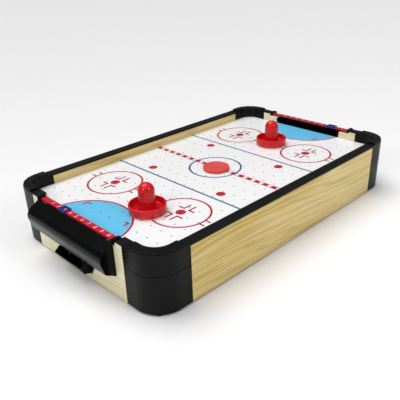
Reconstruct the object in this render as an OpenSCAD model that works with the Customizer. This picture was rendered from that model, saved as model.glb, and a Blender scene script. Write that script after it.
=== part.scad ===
// Tabletop air hockey table with a fan-fed playing field, two goals, two strikers and a puck.
// +X runs along the table to the far goal, +Y across it, +Z up.
// The origin is the centre of the table on the plane that its rubber feet rest on.

/* [Table] */
// Overall length over the corner posts
table_l = 508; // [480:1:560]
// Overall width over the corner posts
table_w = 305; // [290:1:340]
// Height of the top of the side caps above the resting plane
cap_top = 81; // [78:0.5:90]
// Height of the rubber feet
foot_h = 2.5; // [2:0.5:4]
// Thickness of the wooden rails
rail_t = 14.5; // [14:0.5:16]
// Thickness of the black cap on the side rails
cap_t = 3; // [2:0.5:4]
// Depth of the playing surface below the cap
field_depth = 15.5; // [14:0.5:17]

/* [Corner posts] */
// Length of each leg of a corner post
corner_leg = 54; // [50:1:60]
// Outer radius of the corner posts
corner_r = 36; // [30:1:40]
// Height of the seam between the lower and the upper shell
seam_z = 53; // [50:1:56]
// Height of the raised rim above the side caps
rim_h = 2.5; // [1:0.5:4]
// Wall thickness of the corner shells
shell_t = 2.5; // [2:0.1:2.8]

/* [Playing field] */
// Thickness of the field sheet
field_t = 3; // [2.5:0.5:4]
// Diameter of the air holes
air_hole_d = 2; // [1:0.1:3]
// Spacing of the air holes along the table
air_pitch_x = 21.9; // [18:0.1:24]
// Spacing of the air holes across the table
air_pitch_y = 19; // [16:0.1:22]

/* [Goals] */
// Width of the goal mouth
mouth_w = 131; // [120:1:140]
// Length of the score bar
bar_l = 160; // [152:1:164]
// Distance from one score number to the next
score_pitch = 13.5; // [12:0.5:13.5]
// Place of the near slider on its bar, in steps from the table's right-hand side
near_score = 7; // [0:0.5:10]
// Place of the far slider on its bar, in steps from the table's right-hand side
far_score = 1.5; // [0:0.5:10]

/* [Strikers and puck] */
// Outer diameter of a striker's ring
striker_d = 50; // [46:1:54]
// Height of a striker's ring
ring_h = 13; // [10:0.5:16]
// Overall height of a striker
striker_h = 41.5; // [36:0.5:46]
// Diameter of the puck
puck_d = 40; // [38:0.5:48]
// Thickness of the puck
puck_t = 5; // [3:0.5:6]
// Place of the puck along and across the table
puck_place = [-4, -4];
// Place of the near striker along and across the table
near_striker = [-165, -35];
// Place of the far striker along and across the table
far_striker = [138, 1.5];

/* [Fan] */
// Side of the square fan frame
fan_w = 80; // [76:1:84]
// Height of the fan frame
fan_h = 25; // [22:1:30]
// Number of impeller blades
blades = 7; // [5:1:9]

/* [Hidden] */
$fn = 96;
eps = 0.01;
half_l = table_l / 2;
half_w = table_w / 2;
in_l = half_l - rail_t;
in_w = half_w - rail_t;
in_r = corner_r - rail_t;
side_half = half_l - corner_leg;
end_half = half_w - corner_leg;
wood_top = cap_top - cap_t;
end_cap_t = 1.6;
end_top = cap_top - end_cap_t;
field_z = cap_top - field_depth;
field_base = field_z - field_t;
seam_h = 0.8;
seam_d = 0.5;
rim_inset = 0.8;
rim_short = 7;

// Tenons on the rail ends, held in the hollow corner posts
tenon_l = 12;
tenon_t = 8;
tenon_z0 = 8;
tenon_z1 = 74;
tenon_gap = 0.1;

// Cleats, gasket and bottom panel
cleat_w = 10;
cleat_h = 10;
gasket_t = 1;
gasket_w = 8;
panel_z = 6;
panel_t = 3;
panel_top = panel_z + panel_t;
fit_gap = 0.3;
cleat_long = 190;
cleat_short = 90;
field_cleat_z = field_base - gasket_t - cleat_h;

// Screws
screw_r = 1.5;
pilot_r = 1.55;
clear_r = 1.75;
head_r = 2.9;
head_h = 1.8;
hood_screw_y = 74;
hood_screw_z = 45;
tray_screw_y = 15;
tray_screw_z = 24;
tray_screw_l = 12;
corner_boss = 15.7;
corner_screw_z = 43;
corner_boss_r = 5.2;
corner_bore_r = 3.2;
panel_screw_places = concat(
    [for (sx = [-1, 1], sy = [-1, 1]) [sx * 150, sy * (in_w - cleat_w / 2)]],
    [for (sx = [-1, 1], sy = [-1, 1]) [sx * (in_l - cleat_w / 2), sy * 50]]);

// Score bar and slider
bar_x = half_l - 5.9;
bar_w = 8.4;
bar_h = 2.4;
bar_z = end_top - bar_h;
bar_notch_z = bar_z - 2;
groove_h = 0.8;
groove_d = 0.6;
groove_z = bar_z + 0.8;
bar_pin_r = 0.9;
bar_pin_l = 3;
slide_gap = 0.1;
slider_l = 15;
slider_t = 1.2;
window_w = 5;
window_l = 8;
slider_z = bar_z + 0.3;
slider_top = bar_z + bar_h + slide_gap + 1.5;
score_half = 5 * score_pitch;

// Goal hood
hood_half = 83;
hood_wall = 2.4;
hood_back = half_l - 20;
hood_boss_r = 4;
hood_boss_l = 9.5;
hood_x = half_l + 0.2;
hood_top = 77.8;
hood_foot = 33;
fold = [half_l + 22.5, 65.5];
fold_r = 13;
lip = [half_l + 14.7, 41];
slope_normal = outward([hood_x, hood_top], fold);
front_normal = outward(fold, lip);
fold_centre = fold - (slope_normal + front_normal) * fold_r / (1 + slope_normal * front_normal);
chute_half = 34;
ear_y0 = bar_l / 2 + 0.2;
ear_y1 = ear_y0 + 6;
ear_top = 82;
strap_t = 1.8;
liner_t = 1.5;
liner_gap = 0.1;
liner_z = field_z - 0.15 - liner_t;
liner_top = bar_notch_z - liner_gap;
sill_z = liner_z - 0.05;

// Puck tray
tray_half = 30;
tray_wall = 2.4;
flare_half = 42;
tray_z = 13;
tray_top = hood_foot - 0.2;
tray_bend = [hood_x + 11.5, 16.5];
tray_lip = [hood_x + 16.3, 25.5];

// Striker
cup_wall = 2.2;
cup_floor = 3;
felt_t = 1;
felt_gap = 0.05;
knob_r = 11;
knob_base_r = 12.5;
air_gap = 0.3;
striker_z = field_z + felt_gap + felt_t;

// Fan
fan_bore_r = fan_w / 2 - 1.5;
fan_hole = fan_w / 2 - 4.25;
fan_screw_r = 1.9;
fan_z = panel_top;
spider_t = 2.5;
motor_r = 11;
motor_top = fan_z + 17.5;
shaft_r = 1.15;
hub_r = 15;
hub_z0 = fan_z + 4;
hub_z1 = fan_z + 23.5;
blade_reach = 36.3;
blade_h = 17;
blade_t = 1.6;
blade_pitch = 40;
guard_z = panel_z - 1;
guard_r = 0.75;
guard_pitch = 7.5;

// Battery box, whose hinged cover is flush with the bottom panel
box_x = 130;
box_w = 96;
box_d = 62;
box_h = 22;
box_wall = 2;
flange_w = 4;
flange_t = 1.6;
cell_r = 7.15;
cell_l = 49.2;
cell_count = 6;
cell_z = panel_z + 11.2;
cell_pitch = 15;
button_r = 2.75;
spring_r = 4.2;
spring_wire_r = 0.4;
spring_turns = 3;
cover_gap = 0.3;
cover_t = 2.4;
cover_l = box_w - 2 * box_wall - 2 * cover_gap;
cover_y0 = -box_d / 2 + box_wall + 0.8;
cover_y1 = box_d / 2 - box_wall - cover_gap;
hinge_y = cover_y0 + 1.5;
hinge_z = panel_z + cover_t / 2;
hinge_r = 0.9;

// Power switch, recessed in the left side rail; the rocker turns about a vertical pin
switch_x = 130;
switch_z = 36;
switch_w = 19;
switch_h = 12.6;
bezel_t = 1.5;
bezel_rim = 2.5;
pivot_y = half_w - 3.4;
bezel_y = pivot_y + 1.2;
rocker_r = 7.2;
rocker_half = 4;
rocker_tilt = 8;
rocker_gap = 0.3;
rocker_pin_r = 1;
switch_back = in_w - 4;

// Wiring
wire_r = 0.9;
wire_z = 20;
wire_lane_y = in_w - 18;
switch_tab = 4;
box_wire_x = box_x + 20;

// Shared shapes

// Places its children on the far (+1) or near (-1) side, and the left (+1) or right (-1) side
module flip(sx, sy = 1) {
    mirror([sx < 0 ? 1 : 0, 0, 0])
        mirror([0, sy < 0 ? 1 : 0, 0])
            children();
}

// Rectangle whose far left corner, at (x1, y1), is rounded
module rounded_block(x1, y1, w, d, r) {
    difference() {
        translate([x1 - w, y1 - d]) square([w, d]);
        translate([x1 - r, y1 - r])
            difference() {
                square(r + 1);
                circle(r);
            }
    }
}

// Plan of a corner post, shrunk on every side by inset, with short cut off the two ends
module corner_plan(inset = 0, short = 0) {
    size = corner_leg - 2 * inset - short;
    difference() {
        rounded_block(half_l - inset, half_w - inset, size, size, corner_r - inset);
        rounded_block(in_l + inset, in_w + inset, table_l, table_w, in_r + inset);
    }
}

// Plan of the space between the rails, shrunk by inset
module inner_plan(inset) {
    r = in_r - inset;
    square([2 * (in_l - inset), 2 * (in_w - inset) - 2 * r], center = true);
    square([2 * (in_l - inset) - 2 * r, 2 * (in_w - inset)], center = true);
    for (sx = [-1, 1], sy = [-1, 1])
        translate([sx * (in_l - inset - r), sy * (in_w - inset - r)]) circle(r);
}

// Round rod from z0 to z1
module rod(r, z0, z1) {
    translate([0, 0, z0]) cylinder(r = r, h = z1 - z0);
}

// Round rod along X from x0 to x1
module rod_x(r, x0, x1) {
    translate([x0, 0, 0]) rotate([0, 90, 0]) cylinder(r = r, h = x1 - x0);
}

// Round rod along Y from y0 to y1
module rod_y(r, y0, y1) {
    translate([0, y0, 0]) rotate([-90, 0, 0]) cylinder(r = r, h = y1 - y0);
}

// Pan-head screw standing up from z0, with its head below z0
module screw_up(z0, length, r = screw_r, head = head_r) {
    rod(r, z0 - eps, z0 + length);
    rod(head, z0 - head_h, z0);
}

// Prism that runs along Y from -half to half; its section is drawn in X and Z
module along_y(half) {
    translate([0, half, 0]) rotate([90, 0, 0]) linear_extrude(2 * half) children();
}

// Wooden frame

module side_rail(sy) {
    color("burlywood")
        difference() {
            flip(1, sy) {
                translate([-side_half, in_w, foot_h])
                    cube([2 * side_half, rail_t, wood_top - foot_h]);
                translate([-side_half - tenon_l, half_w - (rail_t + tenon_t) / 2, tenon_z0])
                    cube([2 * (side_half + tenon_l), tenon_t, tenon_z1 - tenon_z0]);
            }
            if (sy > 0)
                translate([switch_x, half_w - rail_t / 2, switch_z]) {
                    cube([switch_w + 0.2, rail_t + 1, switch_h + 0.2], center = true);
                    translate([0, bezel_y - bezel_t - half_w + rail_t, 0])
                        cube([switch_w + 2 * bezel_rim + 0.4, rail_t,
                              switch_h + 2 * bezel_rim + 0.4], center = true);
                }
        }
}

module side_rail_right() { side_rail(-1); }
module side_rail_left() { side_rail(1); }

module side_cap(sy) {
    color("#1c1d1e")
        flip(1, sy)
            translate([-side_half, in_w, wood_top])
                cube([2 * side_half, rail_t, cap_t]);
}

module side_cap_right() { side_cap(-1); }
module side_cap_left() { side_cap(1); }

module end_rail(sx) {
    color("wheat")
        flip(sx)
            difference() {
                union() {
                    translate([in_l, -end_half, foot_h])
                        cube([rail_t, 2 * end_half, end_top - foot_h]);
                    translate([half_l - (rail_t + tenon_t) / 2, -end_half - tenon_l, tenon_z0])
                        cube([tenon_t, 2 * (end_half + tenon_l), tenon_z1 - tenon_z0]);
                }
                translate([in_l - 1, -mouth_w / 2 - liner_t - liner_gap, sill_z])
                    cube([rail_t + 2, mouth_w + 2 * (liner_t + liner_gap), 20]);
                translate([in_l - 1, -ear_y1 - 0.1, bar_notch_z])
                    cube([rail_t + 2, 2 * (ear_y1 + 0.1), 20]);
                for (sy = [-1, 1]) {
                    translate([0, sy * hood_screw_y, hood_screw_z])
                        rod_x(clear_r, in_l - 1, half_l + 1);
                    translate([0, sy * tray_screw_y, tray_screw_z])
                        rod_x(pilot_r, half_l - tray_screw_l, half_l + 1);
                }
            }
}

module end_rail_near() { end_rail(-1); }
module end_rail_far() { end_rail(1); }

module end_caps() {
    color("#1c1d1e")
        for (sx = [-1, 1], sy = [-1, 1])
            flip(sx, sy)
                translate([in_l, ear_y1 + 0.1, end_top])
                    cube([rail_t, end_half - ear_y1 - 0.1, end_cap_t]);
}

// Corner posts

module corner_lower(sx, sy) {
    color("#222426")
        flip(sx, sy)
            difference() {
                union() {
                    translate([0, 0, foot_h])
                        linear_extrude(seam_z - foot_h)
                            difference() {
                                corner_plan();
                                corner_plan(shell_t);
                            }
                    translate([half_l - corner_boss, half_w - corner_boss, 0])
                        rod(corner_boss_r, foot_h, seam_z);
                }
                tenon_slots(foot_h + 5, seam_z + 1);
                translate([half_l - corner_boss, half_w - corner_boss, 0]) {
                    rod(corner_bore_r, 0, corner_screw_z);
                    rod(clear_r, corner_screw_z - 1, seam_z + 1);
                }
            }
}

module corner_upper(sx, sy) {
    color("#1c1e20")
        flip(sx, sy)
            difference() {
                union() {
                    translate([0, 0, seam_z])
                        linear_extrude(seam_h + 0.1) corner_plan(seam_d);
                    translate([0, 0, seam_z + seam_h])
                        linear_extrude(cap_top - seam_z - seam_h) corner_plan();
                    translate([0, 0, cap_top - 1])
                        linear_extrude(rim_h + 1) corner_plan(rim_inset, rim_short);
                }
                difference() {
                    translate([0, 0, seam_z - 1])
                        linear_extrude(cap_top - 2 - seam_z) corner_plan(shell_t);
                    translate([half_l - corner_boss, half_w - corner_boss, 0])
                        rod(corner_boss_r, seam_z - 2, cap_top);
                }
                tenon_slots(seam_z - 1, tenon_z1 + tenon_gap);
                translate([half_l - corner_boss, half_w - corner_boss, 0])
                    rod(pilot_r, seam_z - 1, seam_z + 18);
            }
}

// Slots in the two end walls of a corner post that let the rail tenons in
module tenon_slots(z0, z1) {
    t = tenon_t + 2 * tenon_gap;
    reach = shell_t + 1;
    translate([side_half - 1, half_w - (rail_t + t) / 2, z0]) cube([reach, t, z1 - z0]);
    translate([half_l - (rail_t + t) / 2, end_half - 1, z0]) cube([t, reach, z1 - z0]);
}

module corner_upper_near_right() { corner_upper(-1, -1); }
module corner_upper_near_left() { corner_upper(-1, 1); }
module corner_upper_far_right() { corner_upper(1, -1); }
module corner_upper_far_left() { corner_upper(1, 1); }
module corner_lower_near_right() { corner_lower(-1, -1); }
module corner_lower_near_left() { corner_lower(-1, 1); }
module corner_lower_far_right() { corner_lower(1, -1); }
module corner_lower_far_left() { corner_lower(1, 1); }

// Field, air chamber and bottom panel

module playfield() {
    cols = floor((in_l - 20) / air_pitch_x);
    rows = floor((in_w - 5) / air_pitch_y);
    color("white")
        translate([0, 0, field_base])
            linear_extrude(field_t)
                difference() {
                    inner_plan(fit_gap);
                    for (i = [-cols : cols - 1], j = [-rows : rows - 1])
                        translate([(i + 0.5) * air_pitch_x, (j + 0.5) * air_pitch_y])
                            circle(d = air_hole_d, $fn = 16);
                }
}

module field_gasket() {
    color("dimgray")
        translate([0, 0, field_base - gasket_t])
            linear_extrude(gasket_t)
                difference() {
                    inner_plan(fit_gap);
                    inner_plan(gasket_w);
                }
}

// Four wooden cleats round the inside of the frame, with their lower faces at z0
module cleats(z0) {
    for (s = [-1, 1]) {
        flip(1, s)
            translate([-cleat_long, in_w - cleat_w, z0]) cube([2 * cleat_long, cleat_w, cleat_h]);
        flip(s)
            translate([in_l - cleat_w, -cleat_short, z0]) cube([cleat_w, 2 * cleat_short, cleat_h]);
    }
}

module field_cleats() {
    color("peru") cleats(field_cleat_z);
}

module bottom_cleats() {
    color("peru")
        difference() {
            cleats(panel_top);
            for (p = panel_screw_places)
                translate(p) rod(pilot_r, panel_top - 1, panel_top + 9);
        }
}

module bottom_panel() {
    color("sienna")
        difference() {
            translate([0, 0, panel_z]) linear_extrude(panel_t) inner_plan(fit_gap);
            rod(fan_bore_r, panel_z - 1, panel_top + 1);
            for (a = [45 : 90 : 315])
                rotate(a) translate([fan_hole * sqrt(2), 0]) rod(2.2, panel_z - 1, panel_top + 1);
            for (p = panel_screw_places)
                translate(p) rod(clear_r, panel_z - 1, panel_top + 1);
            translate([box_x, 0, panel_z]) cube([box_w + 0.4, box_d + 0.4, 20], center = true);
        }
}

// Goals

// Unit normal of the line from a to b, on its left-hand side seen from b
function outward(a, b) = [a[1] - b[1], b[0] - a[0]] / norm(b - a);

// Outer outline of a hood, drawn from x = back outwards, with an arc at the fold
module hood_outline(back) {
    a0 = atan2(slope_normal[1], slope_normal[0]);
    a1 = atan2(front_normal[1], front_normal[0]);
    polygon(concat([[back, hood_top], [hood_x, hood_top]],
                   [for (i = [0 : 12])
                       let(a = a0 + (a1 - a0) * i / 12) fold_centre + fold_r * [cos(a), sin(a)]],
                   [lip, [hood_x, hood_foot], [back, hood_foot]]));
}

// Hollow shell of a hood, with bosses for its screws
module hood_shell() {
    difference() {
        along_y(hood_half)
            intersection() {
                hood_outline(hood_back);
                translate([hood_x, 0]) square(hood_top);
            }
        difference() {
            along_y(hood_half - hood_wall)
                offset(delta = -hood_wall) hood_outline(hood_back);
            for (sy = [-1, 1])
                translate([0, sy * hood_screw_y, hood_screw_z])
                    rod_x(hood_boss_r, hood_x, lip[0] + hood_wall);
            translate([hood_x - 1, -hood_half, hood_top - 4])
                cube([strap_t + 1, 2 * hood_half, 10]);
        }
    }
}

// Ear that holds one end of the score bar, in the notch of the end rail
module ear() {
    x0 = bar_x - bar_w / 2;
    translate([x0, ear_y0, bar_notch_z + 0.1]) {
        cube([half_l - x0, ear_y1 - ear_y0, ear_top - bar_notch_z - 0.1]);
        cube([hood_x + strap_t - x0, hood_half - ear_y0, ear_top - bar_notch_z - 0.1]);
    }
}

// Floor and side walls that line the goal mouth and brace the hood
module mouth_liner() {
    translate([in_l, -mouth_w / 2 - liner_t, liner_z])
        cube([rail_t + strap_t, mouth_w + 2 * liner_t, liner_t]);
    for (sy = [-1, 1])
        translate([0, sy * (mouth_w + liner_t) / 2, 0])
            along_y(liner_t / 2) {
                translate([in_l, liner_z]) square([rail_t + strap_t, liner_top - liner_z]);
                intersection() {
                    hood_outline(hood_x);
                    translate([hood_x, liner_z]) square(hood_top - liner_z);
                }
            }
}

module goal_hood(sx) {
    color("#151617")
        flip(sx)
            difference() {
                union() {
                    hood_shell();
                    mouth_liner();
                    for (sy = [-1, 1])
                        flip(1, sy) ear();
                }
                translate([hood_x - 1, -chute_half, hood_foot - 1])
                    cube([10, 2 * chute_half, 10]);
                for (sy = [-1, 1]) {
                    translate([0, sy * hood_screw_y, hood_screw_z])
                        rod_x(pilot_r, hood_x - 1, hood_x + hood_boss_l);
                    flip(1, sy)
                        translate([bar_x, 0, bar_z + bar_h / 2])
                            rod_y(bar_pin_r + 0.05, ear_y0 - 1, ear_y0 + bar_pin_l + 0.2);
                }
            }
}

module goal_hood_near() { goal_hood(-1); }
module goal_hood_far() { goal_hood(1); }

// Side view of the tray floor and its raised lip
module tray_floor() {
    polygon([[hood_x, tray_z], tray_bend, tray_lip, tray_lip + [-tray_wall, 0.5],
             tray_bend + [-1.5, tray_wall], [hood_x, tray_z + tray_wall]]);
}

// Side view of a tray cheek
module tray_cheek() {
    polygon([[hood_x, tray_z], tray_bend, tray_lip, [hood_x + 9, tray_top - 1], [hood_x, tray_top]]);
}

module puck_tray(sx) {
    color("#151617")
        flip(sx)
            difference() {
                union() {
                    along_y(tray_half) tray_floor();
                    for (sy = [-1, 1])
                        translate([0, sy * (tray_half - tray_wall / 2), 0])
                            along_y(tray_wall / 2) tray_cheek();
                    translate([hood_x, 0, 0])
                        rotate([90, 0, 90])
                            linear_extrude(tray_wall)
                                polygon([[-tray_half, tray_z], [tray_half, tray_z],
                                         [flare_half, tray_top], [-flare_half, tray_top]]);
                }
                for (sy = [-1, 1])
                    translate([0, sy * tray_screw_y, tray_screw_z])
                        rod_x(clear_r, hood_x - 1, hood_x + 4);
            }
}

module puck_tray_near() { puck_tray(-1); }
module puck_tray_far() { puck_tray(1); }

module score_bar(sx) {
    color("crimson")
        flip(sx) {
            along_y(bar_l / 2)
                difference() {
                    translate([bar_x - bar_w / 2, bar_z]) square([bar_w, bar_h]);
                    for (s = [-1, 1])
                        translate([bar_x + s * bar_w / 2, groove_z + groove_h / 2])
                            square([2 * groove_d, groove_h], center = true);
                }
            translate([bar_x, 0, bar_z + bar_h / 2])
                rod_y(bar_pin_r, -bar_l / 2 - bar_pin_l, bar_l / 2 + bar_pin_l);
        }
}

module score_bar_near() { score_bar(-1); }
module score_bar_far() { score_bar(1); }

// C-shaped clip that slides on the score bar; its ribs run in the bar's grooves
module score_slider(sx, y) {
    w = bar_w + 2 * slide_gap;
    color("#26408c")
        translate([0, y, 0])
            flip(sx)
                difference() {
                    along_y(slider_l / 2)
                        difference() {
                            translate([bar_x - w / 2 - slider_t, slider_z])
                                square([w + 2 * slider_t, slider_top - slider_z]);
                            difference() {
                                translate([bar_x - w / 2, slider_z - 1])
                                    square([w, bar_z + bar_h + slide_gap - slider_z + 1]);
                                for (s = [-1, 1])
                                    translate([bar_x + s * w / 2, groove_z + groove_h / 2])
                                        square([2 * (groove_d - slide_gap),
                                                groove_h - 2 * slide_gap], center = true);
                            }
                        }
                    translate([bar_x, 0, slider_top])
                        cube([window_w, window_l, 6], center = true);
                }
}

module score_slider_near() { score_slider(-1, near_score * score_pitch - score_half); }
module score_slider_far() { score_slider(1, far_score * score_pitch - score_half); }

// Strikers and puck

module striker(place) {
    r = striker_d / 2;
    dome_z = striker_h - felt_t - knob_r;
    color("crimson")
        translate([place[0], place[1], striker_z])
            rotate_extrude()
                difference() {
                    union() {
                        square([r, ring_h - felt_t]);
                        polygon([[0, 0], [knob_base_r + 1, 0], [knob_base_r, cup_floor + 1],
                                 [knob_r, ring_h], [knob_r, dome_z], [0, dome_z]]);
                        intersection() {
                            translate([0, dome_z]) circle(knob_r);
                            square([knob_r, striker_h]);
                        }
                    }
                    translate([knob_base_r, cup_floor])
                        square([r - cup_wall - knob_base_r, ring_h]);
                }
}

module striker_near() { striker(near_striker); }
module striker_far() { striker(far_striker); }

module striker_felt(place) {
    color("ivory")
        translate([place[0], place[1], field_z + felt_gap])
            difference() {
                cylinder(r = striker_d / 2 - 1, h = felt_t);
                translate([0, 0, -1]) cylinder(r = 6, h = felt_t + 2);
            }
}

module striker_felt_near() { striker_felt(near_striker); }
module striker_felt_far() { striker_felt(far_striker); }

module puck() {
    r = puck_d / 2;
    color("tomato")
        translate([puck_place[0], puck_place[1], field_z + air_gap])
            rotate_extrude()
                polygon([[0, 0], [r - 0.6, 0], [r, 0.6], [r, puck_t - 0.6], [r - 0.6, puck_t],
                         [r - 3, puck_t], [r - 3.6, puck_t - 0.5], [0, puck_t - 0.5]]);
}

// Fan

module fan_frame() {
    color("#303234")
        translate([0, 0, fan_z])
            difference() {
                union() {
                    difference() {
                        translate([-fan_w / 2, -fan_w / 2, 0]) cube([fan_w, fan_w, fan_h]);
                        rod(fan_bore_r, -1, fan_h + 1);
                    }
                    cylinder(r = motor_r + 2, h = spider_t);
                    for (a = [0 : 90 : 270])
                        rotate(a) translate([motor_r, -2, 0])
                            cube([fan_bore_r - motor_r + 1, 4, spider_t]);
                }
                for (a = [45 : 90 : 315])
                    rotate(a) translate([fan_hole * sqrt(2), 0]) rod(fan_screw_r + 0.05, -1, fan_h + 1);
            }
}

module fan_guard() {
    color("silver")
        translate([0, 0, guard_z])
            difference() {
                union() {
                    for (r = [guard_pitch : guard_pitch : fan_bore_r])
                        rotate_extrude() translate([r, 0]) circle(guard_r, $fn = 32);
                    for (a = [45, 135])
                        rotate(a) rod_x(guard_r, -fan_hole * sqrt(2), fan_hole * sqrt(2));
                    for (a = [45 : 90 : 315])
                        rotate(a) translate([fan_hole * sqrt(2), 0]) rod(4, -guard_r, 1);
                }
                for (a = [45 : 90 : 315])
                    rotate(a) translate([fan_hole * sqrt(2), 0]) rod(fan_screw_r + 0.2, -2, 2);
            }
}

module fan_motor() {
    color("silver")
        difference() {
            rod(motor_r, fan_z + spider_t, motor_top);
            rod(shaft_r + 0.05, motor_top - 8, motor_top + 1);
        }
}

module motor_shaft() {
    color("gainsboro") rod(shaft_r, motor_top - 7.5, hub_z1);
}

module fan_impeller() {
    color("#3a3d40")
        difference() {
            union() {
                rod(hub_r, hub_z0, hub_z1);
                intersection() {
                    for (i = [0 : blades - 1])
                        rotate(i * 360 / blades)
                            translate([hub_r - 1, 0, (hub_z0 + hub_z1) / 2])
                                rotate([blade_pitch, 0, 0])
                                    translate([0, -blade_t / 2, -blade_h / 2])
                                        cube([blade_reach, blade_t, blade_h]);
                    rod(blade_reach, hub_z0, hub_z1);
                }
            }
            difference() {
                rod(hub_r - 2, hub_z0 - 1, hub_z1 - 2.5);
                rod(3.5, motor_top + 1, hub_z1);
            }
            rod(shaft_r + 0.02, hub_z0 - 1, hub_z1 + 1);
        }
}

// Batteries

module battery_box() {
    color("#242628")
        translate([box_x, 0, panel_z])
            difference() {
                union() {
                    translate([-box_w / 2, -box_d / 2, 0]) cube([box_w, box_d, box_h]);
                    translate([-box_w / 2 - flange_w, -box_d / 2 - flange_w, panel_t])
                        cube([box_w + 2 * flange_w, box_d + 2 * flange_w, flange_t]);
                }
                translate([-box_w / 2 + box_wall, -box_d / 2 + box_wall, -1])
                    cube([box_w - 2 * box_wall, box_d - 2 * box_wall, box_h - box_wall + 1]);
                translate([0, hinge_y, hinge_z - panel_z])
                    rod_x(hinge_r + 0.05, -box_w / 2 - 1, box_w / 2 + 1);
            }
}

// Centre of battery i along the table
function cell_x(i) = box_x + (i - (cell_count - 1) / 2) * cell_pitch;

// Batteries point alternately left and right
function cell_side(i) = i % 2 == 0 ? 1 : -1;

module batteries() {
    color("goldenrod")
        for (i = [0 : cell_count - 1])
            translate([cell_x(i), 0, cell_z])
                flip(1, cell_side(i)) {
                    rod_y(cell_r, -cell_l / 2, cell_l / 2 - 1);
                    rod_y(button_r, cell_l / 2 - 1.5, cell_l / 2);
                }
}

module battery_springs() {
    coil_l = box_d / 2 - box_wall - 0.3 - cell_l / 2 - 0.2;
    color("silver")
        for (i = [0 : cell_count - 1])
            translate([cell_x(i), 0, cell_z])
                flip(1, -cell_side(i))
                    for (t = [0 : spring_turns - 1])
                        translate([0, cell_l / 2 + 0.5 + t * (coil_l - 0.6) / spring_turns, 0])
                            rotate([-90, 0, 0])
                                rotate_extrude()
                                    translate([spring_r - t * 0.2, 0])
                                        circle(spring_wire_r, $fn = 24);
}

module battery_contacts() {
    color("silver")
        for (i = [0 : cell_count - 1])
            translate([cell_x(i), 0, cell_z])
                flip(1, cell_side(i))
                    translate([-4.5, box_d / 2 - box_wall - 0.5, -5]) cube([9, 0.4, 10]);
}

module battery_cover() {
    color("#242628")
        translate([box_x, 0, 0])
            difference() {
                union() {
                    translate([-cover_l / 2, cover_y0, panel_z])
                        cube([cover_l, cover_y1 - cover_y0, cover_t]);
                    translate([0, hinge_y, hinge_z])
                        rod_x(hinge_r, -box_w / 2 + 0.3, box_w / 2 - 0.3);
                }
                translate([0, cover_y1 - 6, 0]) rod(clear_r, panel_z - 1, panel_top);
                for (i = [-4 : 4])
                    translate([i * 4 - 0.6, cover_y0 + 8, panel_z - 1]) cube([1.2, 14, 1.6]);
            }
}

module cover_screw() {
    color("silver")
        translate([box_x, cover_y1 - 6, 0]) screw_up(panel_z, cover_t + 0.6);
}

// Switch and wiring

module switch_body() {
    color("#18191a")
        difference() {
            union() {
                translate([switch_x - switch_w / 2, switch_back, switch_z - switch_h / 2])
                    cube([switch_w, bezel_y - switch_back, switch_h]);
                translate([switch_x - switch_w / 2 - bezel_rim, bezel_y - bezel_t,
                           switch_z - switch_h / 2 - bezel_rim])
                    cube([switch_w + 2 * bezel_rim, bezel_t, switch_h + 2 * bezel_rim]);
            }
            translate([switch_x, pivot_y, switch_z]) {
                rod(rocker_r + rocker_gap, -rocker_half - 0.2, rocker_half + 0.2);
                translate([-rocker_r - 0.2, 0, -rocker_half - 0.2])
                    cube([2 * rocker_r + 0.4, 10, 2 * rocker_half + 0.4]);
                rod(rocker_pin_r + 0.05, -rocker_half - 1.4, rocker_half + 1.4);
            }
        }
}

module switch_rocker() {
    color("firebrick")
        translate([switch_x, pivot_y, switch_z]) {
            rotate(rocker_tilt)
                translate([0, 0, -rocker_half])
                    linear_extrude(2 * rocker_half)
                        intersection() {
                            circle(rocker_r);
                            polygon([[-8, -8], [8, -8], [8, 2.6], [0, 1.6], [-8, 2.6]]);
                        }
            rod(rocker_pin_r, -rocker_half - 1.2, rocker_half + 1.2);
        }
}

// Wire that runs through the listed points, with a knuckle at each bend
module wire(points) {
    for (i = [0 : len(points) - 2]) {
        d = points[i + 1] - points[i];
        translate(points[i])
            rotate([0, acos(d[2] / norm(d)), atan2(d[1], d[0])])
                cylinder(r = wire_r, h = norm(d), $fn = 24);
    }
    for (i = [1 : len(points) - 2])
        translate(points[i]) sphere(1.15 * wire_r, $fn = 24);
}

module power_wire() {
    color("red")
        wire([[box_wire_x, box_d / 2 + 0.2, wire_z], [box_wire_x, wire_lane_y, wire_z],
              [box_wire_x, wire_lane_y, switch_z], [switch_x + switch_tab, wire_lane_y, switch_z],
              [switch_x + switch_tab, switch_back - 0.2, switch_z]]);
}

module return_wire() {
    color("red")
        wire([[switch_x - switch_tab, switch_back - 0.2, switch_z],
              [switch_x - switch_tab, wire_lane_y, switch_z], [switch_x - switch_tab, wire_lane_y, wire_z],
              [fan_w / 2 + 20, wire_lane_y, wire_z], [fan_w / 2 + 20, 20, wire_z],
              [fan_w / 2 + 0.2, 20, wire_z]]);
}

module fan_wire() {
    color("dimgray")
        wire([[box_x - box_w / 2 - 0.2, -10, wire_z], [fan_w / 2 + 0.2, -10, wire_z]]);
}

// Feet and fasteners

module rubber_feet() {
    color("black")
        for (sx = [-1, 1], sy = [-1, 1])
            flip(sx, sy)
                translate([half_l - corner_boss, half_w - corner_boss, 0]) {
                    cylinder(r = 6.4, h = foot_h);
                    rod(corner_bore_r - 0.1, foot_h - eps, foot_h + 5);
                }
}

module corner_screws() {
    color("silver")
        for (sx = [-1, 1], sy = [-1, 1])
            flip(sx, sy)
                translate([half_l - corner_boss, half_w - corner_boss, 0])
                    screw_up(corner_screw_z, 26);
}

module hood_screws() {
    color("silver")
        for (sx = [-1, 1], sy = [-1, 1])
            flip(sx, sy)
                translate([in_l, hood_screw_y, hood_screw_z])
                    rotate([0, 90, 0]) screw_up(0, rail_t + 8);
}

module tray_screws() {
    color("silver")
        for (sx = [-1, 1], sy = [-1, 1])
            flip(sx, sy)
                translate([hood_x + tray_wall, tray_screw_y, tray_screw_z])
                    rotate([0, -90, 0]) screw_up(0, tray_screw_l);
}

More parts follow.
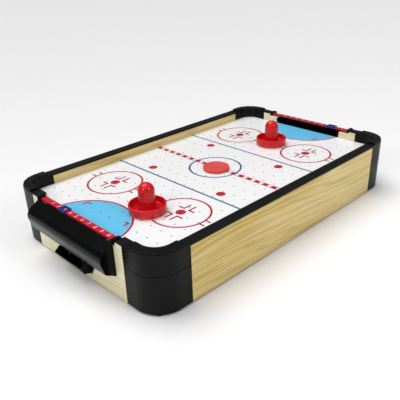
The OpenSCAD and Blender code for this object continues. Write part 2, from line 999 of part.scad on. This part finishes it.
module panel_screws() {
    color("silver")
        for (p = panel_screw_places)
            translate(p) screw_up(panel_z, 11);
}

module fan_screws() {
    color("silver")
        for (a = [45 : 90 : 315])
            rotate(a) translate([fan_hole * sqrt(2), 0])
                screw_up(guard_z - guard_r, 20, fan_screw_r, 3.4);
}

side_rail_right();
side_rail_left();
side_cap_right();
side_cap_left();
end_rail_near();
end_rail_far();
end_caps();
corner_upper_near_right();
corner_upper_near_left();
corner_upper_far_right();
corner_upper_far_left();
corner_lower_near_right();
corner_lower_near_left();
corner_lower_far_right();
corner_lower_far_left();
playfield();
field_gasket();
field_cleats();
bottom_cleats();
bottom_panel();
goal_hood_near();
goal_hood_far();
puck_tray_near();
puck_tray_far();
score_bar_near();
score_bar_far();
score_slider_near();
score_slider_far();
striker_near();
striker_far();
striker_felt_near();
striker_felt_far();
puck();
fan_frame();
fan_guard();
fan_motor();
motor_shaft();
fan_impeller();
battery_box();
battery_cover();
batteries();
battery_springs();
battery_contacts();
switch_body();
switch_rocker();
power_wire();
return_wire();
fan_wire();
rubber_feet();
corner_screws();
hood_screws();
tray_screws();
panel_screws();
fan_screws();
cover_screw();
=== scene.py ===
"""Looks of the tabletop air hockey table: materials, softened edges, fine pieces, light and camera."""

import math

import bmesh
import bpy
from mathutils import Euler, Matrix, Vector


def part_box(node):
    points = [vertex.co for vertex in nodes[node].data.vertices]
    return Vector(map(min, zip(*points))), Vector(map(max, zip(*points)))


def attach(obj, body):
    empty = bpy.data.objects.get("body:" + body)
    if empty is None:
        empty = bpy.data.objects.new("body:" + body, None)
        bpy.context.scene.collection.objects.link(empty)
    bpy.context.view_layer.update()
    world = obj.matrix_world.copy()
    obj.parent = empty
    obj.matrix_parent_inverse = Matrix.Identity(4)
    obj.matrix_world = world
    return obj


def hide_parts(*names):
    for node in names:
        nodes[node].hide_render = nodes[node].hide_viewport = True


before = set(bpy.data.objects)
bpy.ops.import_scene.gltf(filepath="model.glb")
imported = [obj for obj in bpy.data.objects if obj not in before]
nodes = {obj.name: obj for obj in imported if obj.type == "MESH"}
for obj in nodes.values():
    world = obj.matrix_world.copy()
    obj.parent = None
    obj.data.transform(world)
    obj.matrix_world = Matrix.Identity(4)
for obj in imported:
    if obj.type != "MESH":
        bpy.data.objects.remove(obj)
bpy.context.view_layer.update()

MM = 0.001

# Sign of x at each end of the table
ENDS = {"near": -1, "far": 1}

# ---------------------------------------------------------------- shader maths


class Value:
    """A number in a node tree, so that a pattern can be written as ordinary arithmetic."""

    def __init__(self, tree, socket):
        self.tree = tree
        self.socket = socket

    def op(self, kind, *others):
        """Math node of this kind, fed with this value and the others."""
        node = self.tree.nodes.new("ShaderNodeMath")
        node.operation = kind
        for slot, item in zip(node.inputs, (self, *others)):
            if isinstance(item, Value):
                self.tree.links.new(item.socket, slot)
            else:
                slot.default_value = item
        return Value(self.tree, node.outputs[0])

    def __add__(self, other):
        return self.op("ADD", other)

    def __sub__(self, other):
        return self.op("SUBTRACT", other)

    def __mul__(self, other):
        return self.op("MULTIPLY", other)

    def __abs__(self):
        return self.op("ABSOLUTE")

    def greatest(self, other):
        return self.op("MAXIMUM", other)

    def least(self, other):
        return self.op("MINIMUM", other)

    def length(self, other):
        """Length of the vector (self, other)."""
        return (self * self + other * other).op("SQRT")

    def repeat(self, pitch):
        """Distance from the nearest of the points that lie pitch apart, the first at half a pitch."""
        return abs(self.op("FLOORED_MODULO", pitch) - pitch / 2)


# Width of the soft edge of a printed shape
EDGE = 0.12 * MM


def inside(distance):
    """Mask that is 1 where a signed distance is below zero."""
    return (distance * (-1 / EDGE) + 0.5).least(1.0).greatest(0.0)


def disc(x, y, r):
    """Mask of a disc round the origin."""
    return inside(x.length(y) - r)


def ring(x, y, r, width):
    """Mask of a circular line round the origin."""
    return inside(abs(x.length(y) - r) - width / 2)


def bar(x, y, half_x, half_y):
    """Mask of a rectangle round the origin."""
    return inside((abs(x) - half_x).greatest(abs(y) - half_y))


def stroke(x, y, x0, x1, y0, y1):
    """Mask of a rectangle from (x0, y0) to (x1, y1)."""
    return bar(x - (x0 + x1) / 2, y - (y0 + y1) / 2, (x1 - x0) / 2, (y1 - y0) / 2)


# ---------------------------------------------------------------- finishes


def srgb(red, green, blue):
    """Linear colour from 0-255 display values."""
    parts = [c / 255 for c in (red, green, blue)]
    linear = [p / 12.92 if p <= 0.04045 else ((p + 0.055) / 1.055) ** 2.4 for p in parts]
    return (*linear, 1.0)


def shifted(colour, times, plus=0.0):
    """The colour made lighter or darker, and still opaque."""
    return [min(1.0, c * times + plus) for c in colour[:3]] + [1.0]


# Inputs of a map range node
RANGE_INPUTS = ("From Min", "From Max", "To Min", "To Max")


class Finish:
    """A material being built: one principled shader, with its patterns placed in object space."""

    def __init__(self, name, colour, roughness, metallic=0.0, coat=0.0):
        self.material = bpy.data.materials.new(name)
        self.material.use_nodes = True
        self.material.diffuse_color = colour
        self.tree = self.material.node_tree
        self.shader = self.tree.nodes["Principled BSDF"]
        self.shader.inputs["Base Color"].default_value = colour
        self.shader.inputs["Roughness"].default_value = roughness
        self.shader.inputs["Metallic"].default_value = metallic
        self.shader.inputs["Coat Weight"].default_value = coat
        self.shader.inputs["Coat Roughness"].default_value = 0.08
        self.place = self.tree.nodes.new("ShaderNodeTexCoord").outputs["Object"]
        self.normal = None

    def axes(self):
        """The place along X, Y and Z in metres."""
        split = self.tree.nodes.new("ShaderNodeSeparateXYZ")
        self.tree.links.new(self.place, split.inputs[0])
        return [Value(self.tree, socket) for socket in split.outputs]

    def noise(self, per_metre, detail=3.0, distortion=0.0, roughness=0.5):
        """Noise with per_metre = (x, y, z) features a metre along each axis."""
        scale = self.tree.nodes.new("ShaderNodeVectorMath")
        scale.operation = "MULTIPLY"
        scale.inputs[1].default_value = per_metre
        self.tree.links.new(self.place, scale.inputs[0])
        node = self.tree.nodes.new("ShaderNodeTexNoise")
        node.inputs["Scale"].default_value = 1.0
        node.inputs["Detail"].default_value = detail
        node.inputs["Roughness"].default_value = roughness
        node.inputs["Distortion"].default_value = distortion
        self.tree.links.new(scale.outputs[0], node.inputs["Vector"])
        return Value(self.tree, node.outputs["Fac"])

    def cells(self, per_metre):
        """Distance to the nearest of randomly scattered points."""
        node = self.tree.nodes.new("ShaderNodeTexVoronoi")
        node.inputs["Scale"].default_value = per_metre
        self.tree.links.new(self.place, node.inputs["Vector"])
        return Value(self.tree, node.outputs["Distance"])

    def spread(self, value, low, high, to_low=0.0, to_high=1.0):
        """Value remapped from low..high to to_low..to_high, and held inside that range."""
        node = self.tree.nodes.new("ShaderNodeMapRange")
        self.tree.links.new(value.socket, node.inputs["Value"])
        for name, number in zip(RANGE_INPUTS, (low, high, to_low, to_high)):
            node.inputs[name].default_value = number
        return Value(self.tree, node.outputs["Result"])

    def paint(self, mask, colour):
        """Lays colour over the base colour where mask is 1."""
        base = self.shader.inputs["Base Color"]
        node = self.tree.nodes.new("ShaderNodeMix")
        node.data_type = "RGBA"
        # A colour mix node takes its two colours from inputs 6 and 7 and gives output 2
        below, above, mixed = node.inputs[6], node.inputs[7], node.outputs[2]
        self.tree.links.new(mask.socket, node.inputs["Factor"])
        if base.is_linked:
            self.tree.links.new(base.links[0].from_socket, below)
        else:
            below.default_value = base.default_value
        above.default_value = colour
        self.tree.links.new(mixed, base)

    def rough(self, value):
        """Roughness from a pattern."""
        self.tree.links.new(value.socket, self.shader.inputs["Roughness"])

    def bump(self, height, depth):
        """Relief of the given depth in metres where height runs from 0 to 1."""
        node = self.tree.nodes.new("ShaderNodeBump")
        node.inputs["Distance"].default_value = depth
        self.tree.links.new(height.socket, node.inputs["Height"])
        if self.normal:
            self.tree.links.new(self.normal, node.inputs["Normal"])
        self.normal = node.outputs["Normal"]
        self.tree.links.new(self.normal, self.shader.inputs["Normal"])


def pine(name, along, pale, mid, streak, contrast):
    """Planed pine: growth rings cut lengthways, which run along axis 0 (X) or 1 (Y)."""
    finish = Finish(name, mid, 0.5, coat=0.15)

    def stretched(length, across):
        """Features a metre for noise: length of them along the grain and across of them over it."""
        rates = [across, across, across]
        rates[along] = length
        return rates

    broad = finish.noise(stretched(2.5, 20), detail=2, distortion=0.4)
    heart = finish.noise(stretched(1.6, 9), detail=1.5, roughness=0.3)
    waver = finish.noise(stretched(6, 90), detail=2)
    height = finish.axes()[2]
    rings = (height * 620 + heart * 70 + waver * 16).op("SINE")
    fibre = finish.noise(stretched(18, 800), detail=3)
    late_wood = finish.spread(rings, -0.2, 1, 0, contrast) * finish.spread(broad, 0.3, 0.6, 1, 0.4)
    finish.paint(finish.spread(broad, 0.35, 0.65), pale)
    finish.paint(late_wood, streak)
    finish.paint(finish.spread(fibre, 0.5, 0.75, 0, 0.45 * contrast), streak)
    finish.rough(finish.spread(rings, -1, 1, 0.42, 0.58))
    finish.bump(fibre, 0.05 * MM)
    finish.bump(rings, 0.02 * MM)
    return finish.material


def moulded(name, colour, roughness, grain, depth, mottle=0.12, shine=0.5):
    """Finish of moulded plastic: grain features a metre and the depth of the mould texture."""
    finish = Finish(name, colour, roughness)
    finish.shader.inputs["Specular IOR Level"].default_value = shine
    cloud = finish.noise((40, 40, 40), detail=4)
    skin = finish.noise((grain, grain, grain), detail=2)
    finish.paint(finish.spread(cloud, 0.4, 0.75, 0, mottle), shifted(colour, 1.5, 0.004))
    finish.rough(finish.spread(cloud, 0.3, 0.7, roughness * 0.88, min(1.0, roughness * 1.15)))
    finish.bump(skin, depth)
    return finish


def plastic(*values, **options):
    """Moulded plastic without any marks."""
    return moulded(*values, **options).material


def rocker_plastic():
    """Red plastic with a white line and a white ring, for on and off, near the rocker's ends."""
    finish = moulded("switch_red", srgb(190, 20, 26), 0.25, 300, 0.02 * MM)
    low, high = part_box("switch_rocker")
    x, _, z = finish.axes()
    along, up = x - (low.x + high.x) / 2, z - (low.z + high.z) / 2
    reach = (high.x - low.x) * 0.28
    on = bar(along + reach, up, 0.35 * MM, 1.8 * MM)
    off = ring(along - reach, up, 1.5 * MM, 0.6 * MM)
    finish.paint(on.greatest(off), srgb(240, 240, 240))
    return finish.material


# The air holes, and the rink print, whose places are measured from its own centre
HOLE_PITCH = (21.9 * MM, 19 * MM)
# Radius of the painted shade round each air hole
PAINTED_HOLE_SHADE_R = 1.3 * MM
PRINT_PLACE = (1.1 * MM, 2.9 * MM)
LINE = 3 * MM
CIRCLE_R = 39.8 * MM
FACE_OFF = (138.5 * MM, 70.8 * MM)
FACE_OFF_SPOT_R = 7 * MM
NEUTRAL_SPOT = (64.6 * MM, 72.2 * MM)
NEUTRAL_SPOT_R = 6.8 * MM
BLUE_LINE_X = 81 * MM
CREASE_X = 244 * MM
CREASE_R = 65.6 * MM
CENTRE_LINE_HALF = 3.6 * MM
BORDER_HALF = 0.7 * MM
DASH_PITCH = 15.2 * MM
DASH_HALF = 4.6 * MM


def face_off(along, across):
    """Masks of a face-off circle with its spot, and of the small dark marks in and beside it."""
    x, y = along - FACE_OFF[0], across - FACE_OFF[1]
    mark_x, mark_y = abs(x), abs(y)
    circle = ring(x, y, CIRCLE_R, LINE).greatest(disc(x, y, FACE_OFF_SPOT_R))
    long_arm = stroke(mark_x, mark_y, 9 * MM, 23.5 * MM, 3.2 * MM, 6 * MM)
    short_arm = stroke(mark_x, mark_y, 9 * MM, 11.8 * MM, 4.6 * MM, 14.4 * MM)
    tick = stroke(mark_x, mark_y, 4.2 * MM, 6.8 * MM, 39.4 * MM, 48.5 * MM)
    return circle, long_arm.greatest(short_arm).greatest(tick)


def crease_corner(along, across):
    """Mask of the small dark angle in a goal crease."""
    foot = stroke(along, across, 202 * MM, 211 * MM, 43.4 * MM, 46.1 * MM)
    leg = stroke(along, across, 201.6 * MM, 204.3 * MM, 37.6 * MM, 45 * MM)
    return foot.greatest(leg)


def print_rink(finish, x, y):
    """Paints the rink; its place is folded, because the print is the same in all four quarters."""
    along, across = abs(x), abs(y)
    circle, marks = face_off(along, across)
    neutral = disc(along - NEUTRAL_SPOT[0], across - NEUTRAL_SPOT[1], NEUTRAL_SPOT_R)
    crease = ring(along - CREASE_X, y, CREASE_R, LINE)
    blue_line = inside(abs(along - BLUE_LINE_X) - LINE / 2)
    border = inside(abs(along - CENTRE_LINE_HALF) - BORDER_HALF)
    dash = inside(along - CENTRE_LINE_HALF) * inside(y.repeat(DASH_PITCH) - DASH_HALF)

    finish.paint(disc(along - CREASE_X, y, CREASE_R), srgb(100, 196, 238))
    finish.paint(border, srgb(218, 92, 106))
    finish.paint(dash, srgb(186, 14, 40))
    finish.paint(ring(x, y, CIRCLE_R, LINE).greatest(blue_line), srgb(22, 84, 132))
    finish.paint(circle.greatest(neutral).greatest(crease), srgb(192, 14, 42))
    finish.paint(marks.greatest(crease_corner(along, across)), srgb(156, 16, 48))


def field_sheet():
    """Glossy white sheet with the rink print and a painted grey shade round each air hole, standing in for
    the shade inside the holes.
    """
    finish = Finish("field_white", srgb(246, 246, 247), 0.32, coat=0.2)
    haze = finish.noise((9, 9, 9), detail=3)
    finish.paint(finish.spread(haze, 0.4, 0.8, 0, 0.25), srgb(236, 237, 240))
    x, y, _ = finish.axes()
    print_rink(finish, x - PRINT_PLACE[0], y - PRINT_PLACE[1])
    # Painted shade: a grey disc round each air hole darkens the sheet where the holes' shade falls
    painted_hole_shade = disc(x.repeat(HOLE_PITCH[0]), y.repeat(HOLE_PITCH[1]), PAINTED_HOLE_SHADE_R)
    finish.paint(painted_hole_shade * 0.6, srgb(120, 128, 132))
    orange_peel = finish.noise((700, 700, 700), detail=1)
    finish.rough(finish.spread(haze, 0.3, 0.7, 0.28, 0.4))
    finish.bump(orange_peel, 0.01 * MM)
    return finish.material


def felt():
    """Pressed wool felt."""
    finish = Finish("felt", srgb(226, 222, 210), 0.95)
    fibres = finish.noise((2600, 2600, 900), detail=5, distortion=1.5)
    finish.paint(finish.spread(fibres, 0.4, 0.7), srgb(188, 183, 170))
    finish.shader.inputs["Sheen Weight"].default_value = 0.5
    finish.bump(fibres, 0.25 * MM)
    return finish.material


def hardboard():
    """Brown pressed fibreboard with pale flecks."""
    finish = Finish("hardboard", srgb(122, 84, 52), 0.7)
    fibres = finish.noise((420, 420, 420), detail=6, distortion=2.0)
    flecks = finish.cells(900)
    finish.paint(finish.spread(fibres, 0.38, 0.68), srgb(92, 60, 36))
    finish.paint(finish.spread(flecks, 0.1, 0.25, 0.35, 0), srgb(160, 120, 80))
    finish.bump(fibres, 0.15 * MM)
    return finish.material


def soft_rubber(name, colour, pores, depth):
    """Rubber or foam: pores a metre and the depth of each."""
    finish = Finish(name, colour, 0.85)
    holes = finish.cells(pores)
    finish.paint(finish.spread(holes, 0.2, 0.6, 0, 0.4), shifted(colour, 2, 0.01))
    finish.bump(holes, depth)
    return finish.material


def metal(name, colour, roughness, grain):
    """Plated or drawn steel with fine lines that run round or along it."""
    finish = Finish(name, colour, roughness, metallic=1.0)
    lines = finish.noise((grain, grain, 60), detail=3)
    stain = finish.noise((180, 180, 180), detail=3)
    finish.paint(finish.spread(stain, 0.45, 0.75, 0, 0.4), shifted(colour, 0.72))
    finish.rough(finish.spread(lines, 0.3, 0.7, roughness * 0.7, roughness * 1.4))
    finish.bump(lines, 0.02 * MM)
    return finish.material


def battery_wrap():
    """Plain foil sleeve: dark body with a copper band at one end."""
    band_from_y = 9 * MM
    finish = Finish("battery_wrap", srgb(38, 38, 42), 0.3, coat=0.5)
    _, y, _ = finish.axes()
    finish.paint(inside(y * -1 + band_from_y), srgb(190, 122, 60))
    finish.paint(finish.noise((300, 60, 300), detail=2) * 0.2, srgb(120, 110, 100))
    finish.bump(finish.noise((500, 80, 500), detail=2), 0.02 * MM)
    return finish.material


# Plastics are listed with roughness, texture features a metre and texture depth
MATERIALS = {
    "side_wood": pine("side_wood", 0, srgb(238, 214, 146), srgb(216, 186, 92), srgb(164, 128, 34), 0.65),
    "end_wood": pine("end_wood", 1, srgb(248, 241, 205), srgb(240, 228, 188), srgb(208, 191, 142), 0.45),
    "cleat_wood": pine("cleat_wood", 0, srgb(214, 184, 134), srgb(196, 162, 110), srgb(150, 112, 66), 0.8),
    "cap_black": plastic("cap_black", srgb(12, 13, 13), 0.42, 900, 0.02 * MM, shine=0.14),
    "corner_black": plastic("corner_black", srgb(10, 11, 10), 0.34, 1300, 0.03 * MM, shine=0.13),
    "goal_black": plastic("goal_black", srgb(5, 6, 6), 0.2, 160, 0.01 * MM, shine=0.12),
    "score_red": plastic("score_red", srgb(196, 24, 52), 0.25, 240, 0.02 * MM),
    "slider_blue": plastic("slider_blue", srgb(20, 44, 128), 0.25, 240, 0.02 * MM),
    "striker_red": plastic("striker_red", srgb(214, 18, 30), 0.22, 180, 0.015 * MM, shine=0.4),
    "puck_red": plastic("puck_red", srgb(222, 72, 72), 0.42, 900, 0.02 * MM),
    "fan_plastic": plastic("fan_plastic", srgb(46, 48, 50), 0.5, 1200, 0.04 * MM),
    "switch_red": rocker_plastic(),
    "switch_black": plastic("switch_black", srgb(32, 32, 34), 0.45, 1200, 0.03 * MM),
    "wire_red": plastic("wire_red", srgb(176, 22, 22), 0.5, 700, 0.04 * MM),
    "wire_black": plastic("wire_black", srgb(26, 26, 28), 0.5, 700, 0.04 * MM),
    "number_white": plastic("number_white", srgb(236, 196, 206), 0.4, 500, 0.01 * MM, mottle=0.05),
    "field_white": field_sheet(),
    "felt": felt(),
    "hardboard": hardboard(),
    "foam": soft_rubber("foam", srgb(64, 65, 68), 1400, 0.3 * MM),
    "rubber": soft_rubber("rubber", srgb(26, 26, 26), 900, 0.08 * MM),
    "steel": metal("steel", srgb(196, 198, 202), 0.28, 1500),
    "motor_steel": metal("motor_steel", srgb(206, 206, 206), 0.35, 900),
    "battery_wrap": battery_wrap(),
}

# ---------------------------------------------------------------- pieces

# Corners closer than this are one corner, and faces that turn by less than this are one face
SAME_PLACE = 0.002 * MM
SAME_FACE = math.radians(0.4)


def slot_of(node):
    """The record's slot, which is the name of the material that the node came with."""
    return node.data.materials[0].name.split(".")[0]


def placed(name, data):
    """Object with this data, added to the scene."""
    piece = bpy.data.objects.new(name, data)
    bpy.context.scene.collection.objects.link(piece)
    return piece


def finished(piece, slot):
    """Gives piece its material and smooth faces."""
    piece.data.materials.clear()
    piece.data.materials.append(MATERIALS[slot])
    piece.data.shade_smooth()
    return piece


def soften(piece, radius, sharp=25):
    """Rounds every edge that turns by more than sharp degrees, as on moulded and planed parts."""
    weld = piece.modifiers.new("weld", "WELD")
    weld.merge_threshold = SAME_PLACE
    flat = piece.modifiers.new("flat", "DECIMATE")
    flat.decimate_type = "DISSOLVE"
    flat.angle_limit = SAME_FACE
    bevel = piece.modifiers.new("bevel", "BEVEL")
    bevel.width = radius
    bevel.segments = 3
    bevel.limit_method = "ANGLE"
    bevel.angle_limit = math.radians(sharp)
    bevel.use_clamp_overlap = True
    shade = piece.modifiers.new("shade", "WEIGHTED_NORMAL")
    shade.keep_sharp = True
    shade.weight = 80


def new_piece(name, bm, slot, body, *replaced):
    """Turns bm into an object that rides on body and stands for the replaced CAD nodes."""
    mesh = bpy.data.meshes.new(name)
    bm.normal_update()
    bm.to_mesh(mesh)
    bm.free()
    piece = finished(placed(name, mesh), slot)
    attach(piece, body)
    if replaced:
        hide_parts(*replaced)
    return piece


# ---------------------------------------------------------------- turned pieces


def arc(cx, cz, r, start, end, steps=8):
    """Points of a profile on a circle, from start to end degrees."""
    angles = [math.radians(start + (end - start) * i / steps) for i in range(steps + 1)]
    return [(cx + r * math.cos(a), cz + r * math.sin(a)) for a in angles]


def turned(profile, centre, sides=128):
    """Closed mesh made by turning profile, (radius, height) from axis to axis, round centre."""
    bm = bmesh.new()
    rings = []
    for radius, height in profile:
        z = centre.z + height
        if radius < SAME_PLACE:
            rings.append([bm.verts.new((centre.x, centre.y, z))])
            continue
        turns = [2 * math.pi * i / sides for i in range(sides)]
        rings.append([
            bm.verts.new((centre.x + radius * math.cos(t), centre.y + radius * math.sin(t), z))
            for t in turns
        ])
    for low, high in zip(rings, rings[1:]):
        for i in range(sides):
            j = (i + 1) % sides
            if len(low) == 1:
                bm.faces.new((low[0], high[j], high[i]))
            elif len(high) == 1:
                bm.faces.new((low[i], low[j], high[0]))
            else:
                bm.faces.new((low[i], low[j], high[j], high[i]))
    bmesh.ops.recalc_face_normals(bm, faces=bm.faces)
    return bm


def node_centre(node):
    """Point on the vertical axis of a round node, at its foot."""
    low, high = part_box(node)
    return Vector(((low.x + high.x) / 2, (low.y + high.y) / 2, low.z))


def striker(end):
    """Cup with a rounded rim, a filleted floor and a domed knob that flares at its root."""
    node = f"striker_{end}"
    low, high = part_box(node)
    r = (high.x - low.x) / 2
    top = high.z - low.z
    ring_h = 12 * MM
    wall = 2.2 * MM
    floor = 3 * MM
    knob_r = 11 * MM
    root_r = 12.4 * MM
    rim = wall / 2
    fillet = 2.2 * MM
    foot = 1.2 * MM
    profile = [(0, 0)]
    profile += arc(r - foot, foot, foot, -90, 0)
    profile += arc(r - rim, ring_h - rim, rim, 0, 180, 12)
    profile += arc(r - wall - fillet, floor + fillet, fillet, 0, -90)
    profile += arc(root_r + fillet, floor + fillet, fillet, 270, 186)
    profile += [(knob_r + 0.5 * MM, ring_h), (knob_r, ring_h + 5 * MM)]
    profile += arc(0, top - knob_r, knob_r, 0, 90, 20)
    profile[-1] = (0, top)
    new_piece(f"striker_{end}_body", turned(profile, node_centre(node)),
              "striker_red", f"{end}_striker", node)


def puck():
    """Flat disc with rounded edges and a shallow dished face."""
    low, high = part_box("puck")
    r = (high.x - low.x) / 2
    t = high.z - low.z
    edge = 1.1 * MM
    dish = 0.35 * MM
    profile = [(0, dish), (r - 5 * MM, dish), (r - 4 * MM, 0)]
    profile += arc(r - edge, edge, edge, -90, 0)
    profile += arc(r - edge, t - edge, edge, 0, 90)
    profile += [(r - 3.2 * MM, t), (r - 4.2 * MM, t - dish), (0, t - dish)]
    new_piece("puck_disc", turned(profile, node_centre("puck")), "puck_red", "puck", "puck")


# ---------------------------------------------------------------- goals


def copied(node):
    """The CAD node's shape with its doubled corners joined and its flat faces merged."""
    bm = bmesh.new()
    bm.from_mesh(nodes[node].data)
    bmesh.ops.remove_doubles(bm, verts=bm.verts, dist=SAME_PLACE)
    bmesh.ops.dissolve_limit(bm, angle_limit=SAME_FACE, verts=bm.verts, edges=bm.edges)
    return bm


def goal_hood(end):
    """Hood whose sloping top rolls over into its end cheeks, with softened edges."""
    cheek_y = 83 * MM
    roll_from_x = 257.5 * MM
    node = f"goal_hood_{end}"
    bm = copied(node)
    rim = [
        e for e in bm.edges
        if all(abs(abs(v.co.y) - cheek_y) < 0.1 * MM and abs(v.co.x) > roll_from_x for v in e.verts)
    ]
    bmesh.ops.bevel(bm, geom=rim, offset=1.8 * MM, segments=5, profile=0.5,
                    affect="EDGES", clamp_overlap=True)
    piece = new_piece(f"hood_{end}", bm, "goal_black", "table", node)
    soften(piece, 0.5 * MM, sharp=32)


# Share of a font's size that a numeral's height takes
NUMERAL_SHARE = 0.72


def numeral(value, height):
    """Mesh of a number of this height, centred on the origin across and standing on it."""
    curve = bpy.data.curves.new("numeral", "FONT")
    curve.body = str(value)
    curve.size = height / NUMERAL_SHARE
    curve.offset = 0.14 * MM
    curve.extrude = 0.02 * MM
    curve.align_x = "CENTER"
    curve.resolution_u = 6
    holder = placed("numeral", curve)
    bpy.context.view_layer.update()
    mesh = bpy.data.meshes.new_from_object(holder)
    bpy.data.objects.remove(holder)
    return mesh


def numbers(end):
    """White numerals 1 to 10 along the bar, with a plain place for no score at the player's left."""
    low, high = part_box(f"score_bar_{end}")
    side = ENDS[end]
    pitch = 13.5 * MM
    height = 5.6 * MM
    middle_value = 5
    middle_x = (low.x + high.x) / 2
    bm = bmesh.new()
    for value in range(1, 11):
        mesh = numeral(value, height)
        squeeze = 0.85 if value < 10 else 0.62
        for v in mesh.vertices:
            across = v.co.x * squeeze + (value - middle_value) * pitch
            up = v.co.y - height / 2
            v.co = Vector((middle_x - side * up, side * across, high.z + v.co.z))
        bm.from_mesh(mesh)
        bpy.data.meshes.remove(mesh)
    bmesh.ops.recalc_face_normals(bm, faces=bm.faces)
    new_piece(f"score_numbers_{end}", bm, "number_white", "table")


# ---------------------------------------------------------------- the object

# Radius of the softened edges in mm, by the start or the end of the node's name
SOFT_EDGES = {
    "side_rail": 0.5, "end_rail": 0.4, "side_cap": 0.6, "end_caps": 0.4,
    "corner_upper": 0.7, "corner_lower": 0.5, "puck_tray": 0.5,
    "score_bar": 0.5, "score_slider": 0.35,
    "bottom_panel": 0.3, "bottom_cleats": 0.4, "field_cleats": 0.4,
    "fan_frame": 0.4, "fan_impeller": 0.3, "fan_motor": 0.4,
    "battery_box": 0.4, "battery_cover": 0.3, "battery_contacts": 0.1, "batteries": 0.5,
    "switch_body": 0.3, "switch_rocker": 0.3, "rubber_feet": 0.5, "screws": 0.25,
}

for name, node in nodes.items():
    finished(node, slot_of(node))
    for part, radius in SOFT_EDGES.items():
        if name.startswith(part) or name.endswith(part):
            soften(node, radius * MM)
            break

for end in ENDS:
    striker(end)
    goal_hood(end)
    numbers(end)
puck()

# ---------------------------------------------------------------- floor, light and camera

TABLE_MIDDLE = (0, 0, 0.05)
SOFTBOX_SIZE = 0.42
SOFTBOX_POWER = 5.5


def add_lamp(name, data, place, target):
    """Puts a lamp at place, facing target."""
    lamp = placed(name, data)
    lamp.location = place
    lamp.rotation_euler = (Vector(target) - Vector(place)).to_track_quat("-Z", "Y").to_euler()


def softbox(name, place):
    """Square studio lamp that faces the middle of the table."""
    data = bpy.data.lights.new(name, "AREA")
    data.size = SOFTBOX_SIZE
    data.energy = SOFTBOX_POWER
    add_lamp(name, data, place, TABLE_MIDDLE)


def ceiling(name, place, spread, strength):
    """Wide even light from the direction of place, the same all over the floor."""
    data = bpy.data.lights.new(name, "SUN")
    data.angle = math.radians(spread)
    data.energy = strength
    add_lamp(name, data, place, (0, 0, 0))


def floor():
    """Large pale disc under the table."""
    bm = bmesh.new()
    bmesh.ops.create_circle(bm, cap_ends=True, radius=30, segments=64)
    mesh = bpy.data.meshes.new("floor")
    bm.to_mesh(mesh)
    bm.free()
    surface = placed("floor", mesh)
    paint = Finish("floor", srgb(244, 244, 245), 0.9)
    paint.shader.inputs["Specular IOR Level"].default_value = 0.1
    mesh.materials.append(paint.material)


def sky():
    """Studio surroundings: dim near the horizon, bright overhead, pale where the camera sees them."""
    world = bpy.data.worlds.new("studio")
    world.use_nodes = True
    bpy.context.scene.world = world
    tree = world.node_tree
    back = tree.nodes["Background"]
    back.inputs["Color"].default_value = (1, 1, 1, 1)

    place = tree.nodes.new("ShaderNodeTexCoord")
    split = tree.nodes.new("ShaderNodeSeparateXYZ")
    tree.links.new(place.outputs["Generated"], split.inputs[0])
    ramp = tree.nodes.new("ShaderNodeMapRange")
    ramp.interpolation_type = "SMOOTHSTEP"
    for name, number in zip(RANGE_INPUTS, (0.55, 0.95, 0.16, 0.65)):
        ramp.inputs[name].default_value = number
    tree.links.new(split.outputs["Z"], ramp.inputs["Value"])

    # A float mix node takes its two values from inputs 2 and 3
    seen = tree.nodes.new("ShaderNodeLightPath")
    choose = tree.nodes.new("ShaderNodeMix")
    choose.data_type = "FLOAT"
    choose.inputs[3].default_value = 0.9
    tree.links.new(seen.outputs["Is Camera Ray"], choose.inputs["Factor"])
    tree.links.new(ramp.outputs["Result"], choose.inputs[2])
    tree.links.new(choose.outputs[0], back.inputs["Strength"])


def camera(place, turn, lens):
    """Camera at place, turned by these degrees round X, Y and Z; lens is its focal length in mm."""
    data = bpy.data.cameras.new("camera")
    data.sensor_width = 36
    data.lens = lens
    eye = placed("camera", data)
    eye.location = place
    eye.rotation_euler = Euler([math.radians(a) for a in turn])
    bpy.context.scene.camera = eye


floor()
sky()
ceiling("overhead", (-0.1, 0.6, 1.6), 45, 1.75)
softbox("left_box", (-1.45, -0.25, 0.95))
softbox("right_box", (0.2, -1.45, 1.05))
# The photo's view, with the long right side and the near goal in front
camera((-521.6 * MM, -503.3 * MM, 369.0 * MM), (63.667, 1.720, -44.782), 45.69)
bpy.context.scene.view_settings.view_transform = "Standard"
